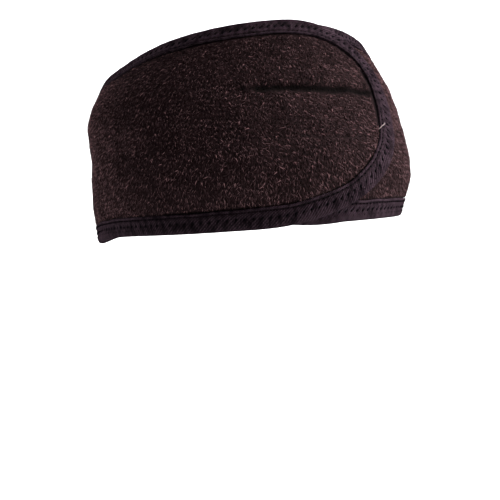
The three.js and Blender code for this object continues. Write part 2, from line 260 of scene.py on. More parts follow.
class Wearing:
    """Carries places on the flat strip to where they lie on the worn one, as the part's source does."""

    PROFILE_STEPS = 24
    LOOP_STEPS = 720
    SLOPE_STEP = 0.0005

    def __init__(self, cut, fit):
        self.cut, self.fit = cut, fit
        self.rows = np.array(LOOPS) * [fit.half_width, fit.front_reach, fit.back_reach, 1, 1]
        self.height = fit.worn_share * cut.width
        self.angles = np.linspace(0, 2 * np.pi, self.LOOP_STEPS + 1)
        shares = np.linspace(0, 1, self.PROFILE_STEPS + 1)
        profiles = self.loop(*np.meshgrid(self.angles, shares, indexing="ij"))
        steps = np.linalg.norm(np.diff(profiles, axis=1), axis=2)
        climbed = np.concatenate([np.zeros((len(steps), 1)), np.cumsum(steps, axis=1)], axis=1)
        self.across = climbed[:, -1]
        self.even = np.linspace(0, 1, 2 * self.PROFILE_STEPS + 1)
        self.share_at = np.array([np.interp(self.even, row / row[-1], shares) for row in climbed])
        middle = self.loop(self.angles, np.full(self.angles.shape, 0.5))
        self.runs = np.concatenate([[0], np.cumsum(np.linalg.norm(np.diff(middle, axis=0), axis=1))])
        self.length = self.runs[-1]
        self.tab_tip = self.length + cut.tab_reach
        self.under_tip = -cut.under_reach
        self.tip_up = cut.tip_share * cut.width

    def loop(self, angle, height_share):
        """A point of the loop by its angle from the front and its share of the loop's height."""
        side, front, back, temples, nape = np.moveaxis(through(self.rows, height_share), -1, 0)
        forward = np.cos(angle)
        fuller = np.where(forward > 0, temples * forward,
                          temples * forward * (1 + forward) + nape * forward ** 2)
        depth = np.where(forward > 0, front, back)
        past_ear = (np.arccos(np.clip(forward, -1, 1)) - self.fit.ear_angle) / self.fit.ear_spread
        sag = self.fit.ear_sag * np.exp(-(past_ear ** 2)) * (1 - height_share) ** 2
        height = height_share * (self.height + self.fit.crown_dip * np.cos(2 * angle)) - self.height / 2 - sag
        return np.stack([side * (1 + fuller) * np.sin(angle), -depth * forward, height], -1)

    def surface(self, run, up):
        """A point of the loop by its run along it and its place up the cloth, measured on the cloth."""
        angle = np.interp(np.mod(run, self.length), self.runs, self.angles)
        part = up / self.cut.width
        column = np.clip(angle / (2 * np.pi) * self.LOOP_STEPS, 0, self.LOOP_STEPS - 1e-6)
        row = np.clip(part, 0, 1) * (len(self.even) - 1)
        i, j = column.astype(int), np.minimum(row.astype(int), len(self.even) - 2)
        s, t = column - i, row - j
        table = self.share_at
        height_share = ((table[i, j] * (1 - s) + table[i + 1, j] * s) * (1 - t)
                        + (table[i, j + 1] * (1 - s) + table[i + 1, j + 1] * s) * t)
        return self.loop(angle, height_share) + self.beyond(angle, part)

    def beyond(self, angle, part):
        """What a place past either edge adds, straight on along the cloth."""
        over = np.where(part < 0, part, np.where(part > 1, part - 1, 0.0))[..., None]
        step = 1 / self.PROFILE_STEPS
        flat = np.zeros_like(angle)
        first = self.loop(angle, flat + step) - self.loop(angle, flat)
        last = self.loop(angle, flat + 1) - self.loop(angle, flat + 1 - step)
        heading = np.where(over < 0, first, last)
        heading = heading / np.linalg.norm(heading, axis=-1, keepdims=True)
        return heading * over * np.interp(angle, self.angles, self.across)[..., None]

    def lapped(self, run):
        """0 where the strip lies on the head, and 1 where it lies over its own hidden end."""
        reached = self.length - self.cut.under_reach - self.fit.lap_margin
        return ease((run - (reached - self.fit.lap_ramp)) / self.fit.lap_ramp)

    def place(self, run, up, out):
        """Where a place of the flat strip lies when the band is worn."""
        step = self.SLOPE_STEP
        along = self.surface(run + step, up) - self.surface(run - step, up)
        across = self.surface(run, up + step) - self.surface(run, up - step)
        outward = np.cross(along, across)
        outward /= np.linalg.norm(outward, axis=-1, keepdims=True)
        level = outward * [1, 1, 0]
        level /= np.linalg.norm(level, axis=-1, keepdims=True)
        lap = self.lapped(run)
        worn = self.surface(run, up) + outward * out[..., None]
        worn[..., 2] -= self.fit.lap_drop * lap
        return worn + level * (self.fit.lap_lift * lap / (level * outward).sum(-1))[..., None]

    def corner(self, along, corner_length, depth):
        """How far a rounded corner has drawn the edge in, from where the corner starts."""
        power = self.cut.squareness
        return depth * (1 - (1 - np.clip(along / corner_length, 0, 1) ** power) ** (1 / power))

    def edges(self, run):
        """How far up the strip its lower and its upper edge lie at each run."""
        cut = self.cut
        upper = cut.width - self.tip_up
        tab_lower = run - (self.tab_tip - cut.tab_lower)
        tab_upper = run - (self.tab_tip - cut.tab_upper)
        under = self.under_tip + cut.under_corner - run
        low = self.corner(tab_lower, cut.tab_lower, self.tip_up)
        low = low + self.corner(under, cut.under_corner, self.tip_up)
        high = self.corner(tab_upper, cut.tab_upper, upper)
        high = high + self.corner(under, cut.under_corner, upper)
        return low, cut.width - high

    def inset(self, run, up):
        """How far inside the strip's outline each place lies."""
        cut = self.cut
        lower = up < self.tip_up
        depth = np.where(lower, self.tip_up, cut.width - self.tip_up)
        away = np.clip(np.abs(up - self.tip_up) / depth, 1e-4, None)
        tab_corner = np.where(lower, cut.tab_lower, cut.tab_upper)
        tab = self.corner_inset(run - self.tab_tip + tab_corner, tab_corner, away, depth)
        under = self.corner_inset(self.under_tip + cut.under_corner - run, cut.under_corner, away, depth)
        return np.minimum(tab, under)

    def corner_inset(self, along, corner_length, away, depth):
        """How far inside a rounded corner's curve each place lies, by the curve's own slope there."""
        power = self.cut.squareness
        along = np.clip(along / corner_length, 0, None)
        reach = (along ** power + away ** power) ** (1 / power)
        slope = np.hypot(along ** (power - 1) / corner_length, away ** (power - 1) / depth)
        return (1 - reach) / (slope * reach ** (1 - power))


class Outline:
    """The flat strip's edge, followed from the lower edge round the tab and back along the upper one."""

    CORNER_STEPS = 160
    HEADING_STEP = 0.0012

    def __init__(self, wearing):
        cut = wearing.cut
        angle = np.linspace(0, np.pi / 2, self.CORNER_STEPS)
        along = np.sin(angle) ** (2 / cut.squareness)
        away = np.cos(angle) ** (2 / cut.squareness)
        upper = cut.width - wearing.tip_up

        def corner(tip, reach, depth):
            return np.stack([tip - reach * (1 - along), wearing.tip_up + depth * away], -1)

        points = np.concatenate([
            corner(wearing.tab_tip, cut.tab_lower, -wearing.tip_up),
            corner(wearing.tab_tip, cut.tab_upper, upper)[::-1][1:],
            corner(wearing.under_tip, -cut.under_corner, upper),
            corner(wearing.under_tip, -cut.under_corner, -wearing.tip_up)[::-1][1:],
        ])
        self.points = np.vstack([points, points[:1]])
        steps = np.linalg.norm(np.diff(self.points, axis=0), axis=1)
        self.distances = np.concatenate([[0], np.cumsum(steps)])
        self.length = self.distances[-1]

    def at(self, distance):
        """The place on the edge at a distance along it."""
        distance = np.mod(distance, self.length)
        return np.stack([np.interp(distance, self.distances, self.points[:, k]) for k in (0, 1)], -1)

    def frame(self, distance):
        """The place on the edge, the heading along it and the heading into the cloth."""
        heading = self.at(distance + self.HEADING_STEP) - self.at(distance - self.HEADING_STEP)
        heading /= np.linalg.norm(heading, axis=-1, keepdims=True)
        inward = np.stack([-heading[..., 1], heading[..., 0]], -1)
        return self.at(distance), heading, inward

    def nearest(self, run, up):
        """The distance along the edge of the point that is nearest to a place."""
        gaps = np.hypot(self.points[:, 0] - run, self.points[:, 1] - up)
        return self.distances[int(np.argmin(gaps))]


def band(context):
    """The way from this band's flat strip to the worn one."""
    return Wearing(context.scene.headband_cut, context.scene.headband_fit)


# Mesh helpers

def read(made):
    """Where an object's vertices lie, a row for each."""
    values = np.empty(3 * len(made.data.vertices))
    made.data.vertices.foreach_get("co", values)
    return values.reshape(-1, 3)


def unrolled(columns, rows):
    """A plain grid of that many steps, from 0 to 1 both ways, with a UV map that says the same."""
    bm = bmesh.new()
    bm.loops.layers.uv.new("cut")
    bmesh.ops.create_grid(bm, x_segments=columns, y_segments=rows, size=0.5, calc_uvs=True)
    bmesh.ops.translate(bm, vec=(0.5, 0.5, 0), verts=bm.verts)
    return bm


def places(bm):
    return np.array([vert.co[:] for vert in bm.verts])


def move(bm, coordinates):
    for vert, place in zip(bm.verts, coordinates.tolist()):
        vert.co = place


def keep(bm, name, values):
    """Keeps one number for each vertex while the piece is still a bmesh, for its material to read."""
    layer = bm.verts.layers.float.new(name)
    for vert, value in zip(bm.verts, values.tolist()):
        vert[layer] = value


def drawn_out(bm, edges, step):
    """Extrudes a ring of edges by one step, and gives the new ring's vertices and edges."""
    grown = bmesh.ops.extrude_edge_only(bm, edges=edges)["geom"]
    ring = [item for item in grown if isinstance(item, bmesh.types.BMVert)]
    bmesh.ops.translate(bm, vec=step, verts=ring)
    return ring, [item for item in grown if isinstance(item, bmesh.types.BMEdge)]


def repeated(unit, count):
    """A bmesh with that many copies of what the given one holds, one after another."""
    bm = unit.copy()
    unit.free()
    sizes = [len(part) for part in (bm.verts, bm.edges, bm.faces)]
    have = 1
    while have < count:
        more = min(have, count - have)
        geometry = []
        for part, size in zip((bm.verts, bm.edges, bm.faces), sizes):
            part.ensure_lookup_table()
            geometry += part[: size * more]
        bmesh.ops.duplicate(bm, geom=geometry)
        have += more
    return bm


def shaped(name, bm, material):
    """Makes a bmesh a smooth object of the scene, at the origin, in that material."""
    mesh = bpy.data.meshes.new(name)
    bm.to_mesh(mesh)
    bm.free()
    mesh.polygons.foreach_set("use_smooth", [True] * len(mesh.polygons))
    mesh.materials.append(material)
    made = bpy.data.objects.new(name, mesh)
    bpy.context.scene.collection.objects.link(made)
    return made


def piece(name, bm, material):
    """Makes a bmesh a piece of the band, which rides on the band's body."""
    made = shaped(name, bm, material)
    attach(made, BODY)
    return made


def note(made, name, values):
    """Keeps one number for each vertex of a finished mesh, for its material to read."""
    layer = made.data.attributes.new(name, "FLOAT", "POINT")
    layer.data.foreach_set("value", np.asarray(values, dtype=np.float32))


def wear(made, wearing, place, out):
    """Carries a piece's vertices from their places on the flat strip to where they lie when it is worn."""
    worn = wearing.place(place[..., 0].ravel(), place[..., 1].ravel(), out.ravel())
    made.data.vertices.foreach_set("co", worn.astype(np.float32).ravel())
    made.data.update()


def laid(origins, headings, along, across):
    """Places on the flat strip that lie so far along each heading, and so far to its left."""
    sideways = np.stack([-headings[:, 1], headings[:, 0]], -1)
    return (origins[:, None, :] + along[..., None] * headings[:, None, :]
            + across[..., None] * sideways[:, None, :])


def map_flat(made, place):
    """Gives a piece a UV map of its own flat pattern, in metres."""
    layer = made.data.uv_layers.get("cut") or made.data.uv_layers.new(name="cut")
    corners = np.empty(len(made.data.loops), dtype=np.int32)
    made.data.loops.foreach_get("vertex_index", corners)
    layer.data.foreach_set("uv", place[corners].astype(np.float32).ravel())


def scale_map(made, across, up):
    """Turns a UV map from shares into metres."""
    layer = made.data.uv_layers["cut"]
    values = np.empty(len(layer.data) * 2, dtype=np.float32)
    layer.data.foreach_get("uv", values)
    layer.data.foreach_set("uv", (values.reshape(-1, 2) * [across, up]).astype(np.float32).ravel())


# Shader helpers

class Signal:
    """A shader socket that takes part in sums."""

    def __init__(self, maker, socket):
        self.maker, self.socket = maker, socket

    def reckon(self, operation, *values):
        return self.maker.node("ShaderNodeMath", {"operation": operation}, dict(enumerate(values)))

    def __add__(self, other):
        return self.reckon("ADD", self, other)

    def __radd__(self, other):
        return self.reckon("ADD", other, self)

    def __sub__(self, other):
        return self.reckon("SUBTRACT", self, other)

    def __rsub__(self, other):
        return self.reckon("SUBTRACT", other, self)

    def __mul__(self, other):
        return self.reckon("MULTIPLY", self, other)

    def __rmul__(self, other):
        return self.reckon("MULTIPLY", other, self)

    def __pow__(self, other):
        return self.reckon("POWER", self, other)

    def wave(self):
        return self.reckon("SINE", self)


class Finish:
    """A material that is built up from nodes."""

    def __init__(self, name, **constants):
        self.material = bpy.data.materials.new(name)
        self.material.use_nodes = True
        self.tree = self.material.node_tree
        self.shader = next(node for node in self.tree.nodes if node.type == "BSDF_PRINCIPLED")
        for socket, value in constants.items():
            self.shader.inputs[socket.replace("_", " ")].default_value = value

    def node(self, kind, settings=None, values=None, output=0):
        made = self.tree.nodes.new(kind)
        for name, value in (settings or {}).items():
            if name == "stops":
                self.set_stops(made.color_ramp, value)
            else:
                setattr(made, name, value)
        for socket, value in (values or {}).items():
            if isinstance(value, Signal):
                self.tree.links.new(value.socket, made.inputs[socket])
            else:
                made.inputs[socket].default_value = value
        return Signal(self, made.outputs[output])

    @staticmethod
    def set_stops(ramp, stops):
        while len(ramp.elements) < len(stops):
            ramp.elements.new(1.0)
        for element, (place, level) in zip(ramp.elements, stops):
            element.position = place
            element.color = (level, level, level, 1)

    def cut_map(self):
        return self.node("ShaderNodeUVMap", {"uv_map": "cut"})

    def object_map(self):
        return self.node("ShaderNodeTexCoord", output="Object")

    def noise(self, vector, size, detail, roughness=0.5):
        values = {"Vector": vector, "Scale": 1 / size, "Detail": detail, "Roughness": roughness}
        return self.node("ShaderNodeTexNoise", values=values)

    def attribute(self, name):
        return self.node("ShaderNodeAttribute", {"attribute_name": name}, output="Fac")

    def ramp(self, value, stops):
        return self.node("ShaderNodeValToRGB", {"stops": stops}, {"Fac": value})

    def mix(self, factor, first, second):
        values = {0: factor, 6: self.opaque(first), 7: self.opaque(second)}
        return self.node("ShaderNodeMix", {"data_type": "RGBA"}, values, output=2)

    @staticmethod
    def opaque(tint):
        return tint if isinstance(tint, Signal) else (*tint, 1)

    def stretched(self, vector, along, across):
        return self.node("ShaderNodeMapping", values={"Vector": vector, "Scale": (along, across, 1)})

    def paint(self, tint, roughness, height=None, distance=0.0002, strength=1.0):
        """Links what varies over the surface to the shader."""
        self.tree.links.new(tint.socket, self.shader.inputs["Base Color"])
        self.tree.links.new(roughness.socket, self.shader.inputs["Roughness"])
        if height is not None:
            values = {"Height": height, "Distance": distance, "Strength": strength}
            bump = self.node("ShaderNodeBump", values=values)
            self.tree.links.new(bump.socket, self.shader.inputs["Normal"])
        return self.material


def turns(pitch):
    """What a length is multiplied with so that a wave repeats at every pitch."""
    return 2 * math.pi / pitch


def scaled(tint, factor):
    """A colour made darker or lighter."""
    return tuple(min(1.0, factor * part) for part in tint)


def towelling_finish(colours):
    finish = Finish("towelling", Roughness=0.95, Sheen_Weight=0.01, Sheen_Roughness=0.45,
                    Sheen_Tint=(0.75, 0.55, 0.58, 1), Specular_IOR_Level=0.0)
    cloth = finish.cut_map()
    tufts = finish.noise(cloth, size=0.0011, detail=4, roughness=0.65)
    upright = finish.stretched(cloth, along=1.0, across=0.45)
    loops = finish.noise(upright, size=0.0007, detail=3, roughness=0.6)
    patches = finish.noise(cloth, size=0.014, detail=2)
    lit = finish.ramp(tufts * 0.6 + loops * 0.5, [(0.36, 0.0), (0.75, 1.0)])
    ground = finish.mix(lit, colours.towelling_deep, colours.towelling)
    fluff = finish.mix(lit, colours.towelling_deep, colours.pile_tip)
    worn = finish.mix(patches * 0.12, ground, fluff)
    # Painted shade darkens the towelling beside the binding and in the tape's crease and seam
    tint = finish.mix(finish.attribute("hollow"), worn, colours.towelling_deep)
    return finish.paint(tint, 0.85 + 0.12 * tufts, tufts + loops * 0.7, distance=0.0006, strength=0.9)


def pile_finish(colours):
    finish = Finish("pile", Roughness=0.85, Sheen_Weight=0.01, Sheen_Roughness=0.4,
                    Sheen_Tint=(0.8, 0.6, 0.62, 1), Specular_IOR_Level=0.0)
    shade, rise = finish.attribute("shade"), finish.attribute("rise")
    patches = finish.noise(finish.object_map(), size=0.022, detail=2)
    # Painted shade: each strand darkens towards its root and with its shade; the patches are tone that
    # differs at random
    lit = rise * (0.02 + 0.98 * shade) * (0.5 + 1.0 * patches)
    tint = finish.mix(lit, colours.towelling_deep, colours.pile_tip)
    twist = finish.noise(finish.object_map(), size=0.00018, detail=1)
    return finish.paint(tint, 0.8 + 0.15 * twist, twist, distance=0.00005, strength=0.6)


def binding_finish(colours, stitches_a_metre):
    finish = Finish("binding", Roughness=0.7, Sheen_Weight=0.01, Sheen_Roughness=0.35,
                    Sheen_Tint=(0.78, 0.55, 0.7, 1), Specular_IOR_Level=0.0)
    cloth = finish.cut_map()
    along = finish.node("ShaderNodeSeparateXYZ", values={"Vector": cloth})
    around = finish.node("ShaderNodeSeparateXYZ", values={"Vector": cloth}, output=1)
    grain = finish.noise(cloth, size=0.0006, detail=3)
    puckers = finish.noise(finish.stretched(cloth, along=1.0, across=0.25), size=0.0022, detail=2)
    # The knit: its ribs, the courses across them, and the pull of the slanting stitches
    ribs = (along * turns(0.00062) + grain * 3).wave()
    courses = (around * turns(0.00048) + ribs * 0.8).wave()
    knit = 0.5 + 0.28 * ribs + 0.22 * courses
    diagonal = (along * turns(0.0014) + around * turns(0.0018) + grain * 4).wave()
    # What the sewing does to it: painted shade in the dent at each slanting stitch, which is bumped in as
    # well, painted shade in the groove beside the lip, and a painted highlight on the ridge of the lip
    slanting = along * (2 * math.pi * stitches_a_metre) + finish.attribute("slant")
    pressed = finish.attribute("pressed") * (0.5 + 0.5 * slanting.wave()) ** 3
    shaded = finish.attribute("groove") * (0.6 + 0.6 * puckers)
    # Painted shade: the binding is darker where its puckers sink, and keeps its colour on their tops
    smooth = finish.ramp(puckers, [(0.36, 0.15), (0.62, 1.0)])
    lit = knit * (2.2 * grain - 0.2) * smooth * (0.9 + 0.75 * diagonal)
    # Painted shade in the stitch dents and in the groove, and a painted highlight on the lip's ridge
    lit = lit * (1 - pressed) * (1 - shaded) * (1 + 0.9 * finish.attribute("ridge"))
    tint = finish.mix(lit, colours.binding_deep, colours.binding)
    height = knit * 0.35 + puckers * 1.4 + diagonal * 0.25 - 6.0 * pressed
    return finish.paint(tint, 0.6 + 0.3 * grain, height, distance=0.00028, strength=0.9)


def thread_finish(name, tint):
    finish = Finish(name, Roughness=0.6, Specular_IOR_Level=0.0)
    ply = finish.noise(finish.object_map(), size=0.00022, detail=2)
    dark = scaled(tint, 0.45)
    return finish.paint(finish.mix(ply, dark, tuple(tint)), 0.45 + 0.3 * ply, ply, distance=0.00006)


def tape_finish(colours):
    finish = Finish("hook_tape", Roughness=0.5, Specular_IOR_Level=0.45)
    hooks = finish.node("ShaderNodeTexVoronoi", {"feature": "F1"},
                        {"Vector": finish.object_map(), "Scale": 1 / 0.0011, "Randomness": 0.25})
    raised = 1 - hooks * 1.6
    tint = finish.mix(raised, scaled(colours.tape, 0.4), scaled(colours.tape, 2.2))
    return finish.paint(tint, 0.35 + 0.3 * hooks, raised, distance=0.0004)


def floor_finish(colours):
    finish = Finish("studio_floor", Roughness=0.9, Specular_IOR_Level=0.1)
    grain = finish.noise(finish.object_map(), size=0.35, detail=3)
    tint = finish.mix(grain, tuple(colours.floor), scaled(colours.floor, 1.02))
    return finish.paint(tint, 0.85 + 0.1 * grain)


# The towelling

# Where the binding rolls in along the crown, from nothing to its whole roll, as shares of the strip's width
CROWN_START = 0.6
CROWN_REACH = 0.35


def shown(cut, up, outer):
    """How wide the binding shows that far up the cloth: on the outer face it rolls in along the crown."""
    rolled = ease((up / cut.width - CROWN_START) / CROWN_REACH) * outer
    return cut.binding_width * (1 - cut.crown_roll * rolled)


# The tape's seams in the towelling: the upper one's height over the tab's tip, its climb for each metre away
# from there, how much less than the tape's width the lower one lies under it, how far both reach past the
# tape, over which they fade out at the far and at the near end, and how far they wander
SEAM_OVER_TIP = 0.0008
SEAM_CLIMB = 0.042
SEAM_DRAWN_IN = 0.0032
SEAM_PAST_TAPE = 0.0025
SEAM_FAR_FADE = 0.026
SEAM_NEAR_FADE = 0.003
SEAM_WANDER = 0.00025


def taped(wearing, run):
    """1 where the tape lies under the tab, and 0 past its ends."""
    cut = wearing.cut
    end = wearing.tab_tip - cut.tape_from_tip
    far = ease((run - (end - cut.tape_length)) / SEAM_FAR_FADE)
    return far * ease((end + SEAM_PAST_TAPE - run) / SEAM_NEAR_FADE)


def crease_line(wearing, run):
    """How far up the strip the tape's upper seam lies, which climbs a little away from the tip."""
    away = np.clip(wearing.tab_tip - wearing.cut.tape_from_tip - run, 0, None)
    return wearing.tip_up + SEAM_OVER_TIP + SEAM_CLIMB * away


def creases(wearing, run, up):
    """The crease over the tape's upper seam, the seam at its lower edge, and the soft dip beside the crease.

    Each is 1 where it has pulled the towelling in the whole way, and 0 where it leaves it alone.
    """
    cut = wearing.cut
    along = taped(wearing, run)
    line = crease_line(wearing, run) + SEAM_WANDER * ripples(run, 0 * up, wavelength=0.017, seed=31)
    top, bottom = np.abs(up - line), np.abs(up - line + cut.tape_width - SEAM_DRAWN_IN)
    uneven = 0.85 + 0.3 * ripples(run, 0 * up, wavelength=0.006, seed=33)
    wide = (0.45 + 0.5 * (1 - along)) * cut.crease_width
    crease = along * np.exp(-(top / wide) ** 1.3) * np.clip(uneven, 0.5, 1.1)
    narrow = 0.4 * cut.crease_width
    seam = along * np.exp(-(bottom / narrow) ** 2) * np.clip(uneven - 0.25, 0.0, 1.1)
    dip = along * np.exp(-(top / (1.6 * cut.crease_width)) ** 2)
    return crease, seam, dip


# Where the towelling is pulled away from the tab's binding: how far below, above and back from the tip that
# stretch ends, and over which length it fades there
PULL_BELOW, PULL_BELOW_FADE = 0.019, 0.005
PULL_ABOVE, PULL_ABOVE_FADE = 0.016, 0.006
PULL_BACK, PULL_BACK_FADE = 0.034, 0.010


def pulled(wearing, run, up):
    """1 where the towelling is pulled away from the binding, round the tab's tip, and 0 elsewhere."""
    below = ease((up - wearing.tip_up + PULL_BELOW) / PULL_BELOW_FADE)
    above = ease((wearing.tip_up + PULL_ABOVE - up) / PULL_ABOVE_FADE)
    return below * above * ease((run - wearing.tab_tip + PULL_BACK) / PULL_BACK_FADE)


# The dark line of painted shade beside the binding: its start, its width, and how much wider it is where the
# cloth is pulled
SHADE_START = 0.0002
SHADE_WIDTH = 0.0011
SHADE_PULLED = 0.0022


def relief(context, wearing, run, up, outer):
    """How far from the cloth's middle each place of a face lies, and how much painted shade it bears beside
    the binding and in the tape's crease and seam.
    """
    cut, pile = wearing.cut, context.scene.headband_pile
    beside = wearing.inset(run, up) - shown(cut, up, outer)
    swell = ease(beside / cut.shoulder)
    half = (cut.grip + (cut.thickness - cut.grip) * swell) / 2
    lumps = ripples(run, up, pile.lump_size, pile.seed)
    lumps = lumps + 0.5 * ripples(run, up, pile.lump_size / 3, pile.seed + 1)
    half = half + swell * pile.lump_height * np.where(outer, lumps, -0.5 * lumps)
    crease, seam, dip = creases(wearing, run, up)
    drawn_in = cut.crease_depth * (0.6 * crease + 0.5 * dip) + cut.seam_depth * seam
    half = half - np.where(outer, drawn_in, 0)
    # Painted shade: a dark line beside the binding, wider where the cloth is pulled away, and dark in the
    # tape's crease and lower seam
    shade = 1 - ease((beside - SHADE_START) / (SHADE_WIDTH + SHADE_PULLED * pulled(wearing, run, up)))
    hollow = np.maximum(shade, np.where(outer, ease(2.4 * crease) + 0.5 * seam, 0))
    return half, np.clip(hollow, 0, 1)


class HEADBAND_OT_towelling(bpy.types.Operator):
    """Cuts the strip of towelling, gives it its thickness, lumps and creases, and closes it into a loop"""

    bl_idname = "headband.towelling"
    bl_label = "Towelling Strip"

    columns, rows = 400, 96
    # How far short of its own tips the strip's grid ends
    end_trim = 0.0006

    def execute(self, context):
        wearing = band(context)
        bm = unrolled(self.columns, self.rows)
        bmesh.ops.solidify(bm, geom=bm.faces[:], thickness=wearing.cut.thickness)
        bmesh.ops.recalc_face_normals(bm, faces=bm.faces)
        shares = places(bm)
        strip = wearing.tab_tip - wearing.under_tip - 2 * self.end_trim
        run = wearing.under_tip + self.end_trim + shares[:, 0] * strip
        low, high = wearing.edges(run)
        up = low + shares[:, 1] * (high - low)
        outer = shares[:, 2] > shares[:, 2].mean()
        half, hollow = relief(context, wearing, run, up, outer)
        place = np.stack([run, up], -1)
        finish = towelling_finish(context.scene.headband_colours)
        made = piece("towelling", bm, finish)
        map_flat(made, place)
        note(made, "hollow", hollow)
        wear(made, wearing, place, np.where(outer, half, -half))
        if np.any(made.data.validate()):
            raise RuntimeError("the towelling's mesh has broken faces")
        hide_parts("terry_band")
        return {"FINISHED"}


# The pile

class HEADBAND_OT_pile(bpy.types.Operator):
    """Stands the pile on both faces of the towelling, as short ends with longer curls among the outer ones"""

    bl_idname = "headband.pile"
    bl_label = "Pile"

    # From a strand's root to its tip, its lean and its rise as shares of its reach and its rise
    straight = [(0.0, -0.3), (1.0, 1.0)]
    curled = [(0.0, -0.25), (0.42, 0.75), (1.0, 1.0)]

    # How far the roots and tips stay from the binding, and how much further where the cloth is pulled away
    root_gap, root_gap_pulled = 0.00055, 0.0019
    tip_gap, tip_gap_pulled = 0.0001, 0.0017
    # How far inside the other layer's edge no strand is seen, and how near the crease no tip lies
    hidden_inset = 0.010
    crease_gap = 0.0006
    # How much of a crease or seam a root bears, and how much of the tape turns strands away from its crease
    most_crease, most_seam, least_tape = 0.3, 0.55, 0.3
    drift_size = 0.022
    reach_range = (0.6, 1.25)
    curl_spread = 0.14

    def execute(self, context):
        wearing, pile = band(context), context.scene.headband_pile
        finish = pile_finish(context.scene.headband_colours)
        random = np.random.default_rng(pile.seed)
        for name, side, pitch, reach, bend, parts in (
            ("pile_outer", 1, pile.pitch, pile.reach, self.straight, 2),
            ("pile_curls", 1, pile.curl_pitch, pile.curl_reach, self.curled, 1),
            ("pile_inner", -1, pile.inner_pitch, pile.reach, self.straight, 1),
        ):
            roots = self.roots(wearing, random, pitch, side)
            for part, some in enumerate(np.array_split(roots, parts), 1):
                self.plant(context, wearing, random, finish, f"{name}_{part}", some, side, reach, bend)
        return {"FINISHED"}

    def roots(self, wearing, random, pitch, side):
        """Evenly scattered places inside the binding, apart from where the other layer hides them."""
        cut = wearing.cut
        runs = np.arange(wearing.under_tip, wearing.tab_tip, pitch)
        ups = np.arange(0, cut.width, pitch)
        run, up = (values.ravel() for values in np.meshgrid(runs, ups, indexing="ij"))
        run = run + random.uniform(0, pitch, run.shape)
        up = up + random.uniform(0, pitch, up.shape)
        gap = self.root_gap + self.root_gap_pulled * pulled(wearing, run, up) * (side > 0)
        clear = wearing.inset(run, up) > shown(cut, up, side > 0) + gap
        hidden = wearing.inset(run + side * wearing.length, up) > self.hidden_inset
        crease, seam, _ = creases(wearing, run, up)
        room = (crease < self.most_crease) & (seam < self.most_seam) | (side < 0)
        return np.stack([run, up], -1)[clear & ~hidden & room]

    def lean(self, wearing, pile, random, roots, reach, side):
        """Where each strand points along the cloth: mostly down, and never over the crease or the binding."""
        run, up = roots.T
        heading = -np.pi / 2 + pile.drift * ripples(run, up, self.drift_size, pile.seed + 5)
        heading = heading + pile.scatter * random.normal(0, 1, len(run))
        line = crease_line(wearing, run)
        tip = up + reach * np.sin(heading)
        crosses = ((up - line) * (tip - line) < 0) | (np.abs(tip - line) < self.crease_gap)
        heading = np.where(crosses & (taped(wearing, run) > self.least_tape), -heading, heading)
        tip_inset = wearing.inset(run + reach * np.cos(heading), up + reach * np.sin(heading))
        gap = self.tip_gap + self.tip_gap_pulled * pulled(wearing, run, up)
        over = tip_inset < shown(wearing.cut, up, side > 0) + gap
        heading = np.where(over, heading + np.pi, heading)
        return np.stack([np.cos(heading), np.sin(heading)], -1)

    def plant(self, context, wearing, random, finish, name, roots, side, reach, bend):
        """Stands one strand on each root, some tufts of them high and some low, the high ones painted lighter
        and the low ones in painted shade.
        """
        pile, count = context.scene.headband_pile, len(roots)
        made = piece(name, repeated(self.strand(len(bend) - 1), count), finish)
        unit = read(made).reshape(count, -1, 3)
        level = np.rint(unit[:, :, 2] * (len(bend) - 1)).astype(int)
        forward, rise = np.moveaxis(np.array(bend)[level], -1, 0)
        run, up = roots.T
        tuft = ripples(run, 0.55 * up, pile.tuft, pile.seed + 11, waves=24)
        tuft = np.clip(0.44 + 0.85 * tuft, 0, 1)
        reach = reach * random.uniform(*self.reach_range, count)
        lean = self.lean(wearing, pile, random, roots, reach, side)
        higher = pile.rise * (0.5 + 0.5 * tuft + random.uniform(0, 0.3, count)) * (1.0 if side > 0 else 0.5)
        curl = random.normal(0, self.curl_spread, count)[:, None] * forward ** 2 * reach[:, None]
        place = laid(roots, lean, forward * reach[:, None], unit[:, :, 0] * pile.width + curl)
        half, _ = relief(context, wearing, place[..., 0], place[..., 1], side > 0)
        out = side * (half + rise * higher[:, None] + unit[:, :, 1] * 0.6 * pile.width)
        if side < 0:
            made.data.flip_normals()
        # Painted light and shade: a few strands are painted as catching the light and most are not, the low
        # tufts are painted in shade, and so is the dip over the crease
        caught = random.beta(0.75, 2.5, count) * 2.35
        shade = np.clip((0.03 + 0.97 * tuft ** 2) * caught, 0, 1)
        shadow = creases(wearing, run, up)[2] * (up > crease_line(wearing, run)) * (side > 0)
        shade = shade * (1 - 0.75 * shadow)
        note(made, "shade", np.repeat(shade, unit.shape[1]))
        # Painted shade: each strand is darker towards its root, deep in the pile
        note(made, "rise", np.clip(0.55 + 0.45 * rise, 0, 1).ravel())
        wear(made, wearing, place, out)

    @staticmethod
    def strand(steps):
        """One strand of three sides that ends in a point, one unit wide and one long."""
        bm = bmesh.new()
        ring = bmesh.ops.create_circle(bm, segments=3, radius=0.5)["verts"]
        edges = bm.edges[:]
        for _ in range(steps):
            ring, edges = drawn_out(bm, edges, (0, 0, 1 / steps))
        bmesh.ops.pointmerge(bm, verts=ring, merge_co=(0, 0, 1))
        bmesh.ops.recalc_face_normals(bm, faces=bm.faces)
        return bm


# The binding

